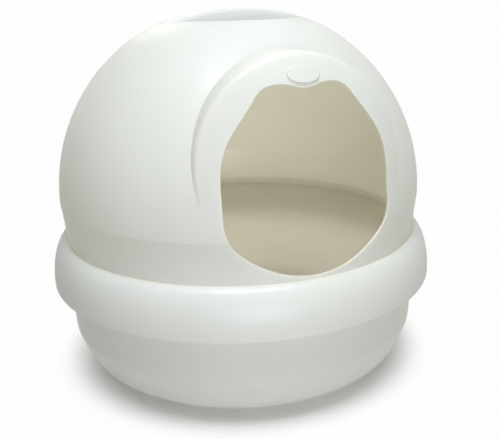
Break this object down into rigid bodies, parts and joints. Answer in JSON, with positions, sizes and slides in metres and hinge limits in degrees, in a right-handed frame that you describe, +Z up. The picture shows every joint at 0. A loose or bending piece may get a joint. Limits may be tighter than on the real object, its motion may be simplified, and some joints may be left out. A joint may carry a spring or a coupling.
{
  "type": "dome litter box",
  "caption": "Round plastic pet litter box with a lift-off dome hood, an arched front entrance, a bulging skirt over the pan and a crown cap with a grip bar over a filter.",
  "frame": {"origin": "on the floor under the centre of the pan's round foot", "axes": "+Z up along the axis of the dome and pan, -Y out of the entrance, +X to the right seen from the front"},
  "size_m": [0.5079, 0.508, 0.4626],
  "materials": {
    "pan_plastic": "satin pearl polypropylene",
    "hood_plastic": "satin pearl polypropylene",
    "cap_plastic": "satin pearl polypropylene",
    "tray_plastic": "plain moulded plastic",
    "filter_felt": "needled felt loaded with carbon"
  },
  "bodies": {
    "pan": {"pan": "pan_plastic"},
    "hood": {"hood": "hood_plastic", "filter_tray": "tray_plastic"},
    "cap": {"crown_cap": "cap_plastic"},
    "pad": {"filter_pad": "filter_felt"}
  },
  "joints": [
    {"name": "hood_lift", "type": "slide", "parent": "pan", "child": "hood", "axis": [0, 0, 1], "range_m": [0, 0.35]},
    {"name": "cap_lift", "type": "slide", "parent": "hood", "child": "cap", "axis": [0, 0, 1], "range_m": [0, 0.12]},
    {"name": "pad_lift", "type": "slide", "parent": "hood", "child": "pad", "axis": [0, 0, 1], "range_m": [0, 0.06]}
  ],
  "couplings": [
    {"joint": "pad_lift", "follows": "cap_lift", "ratio": 0.5}
  ]
}
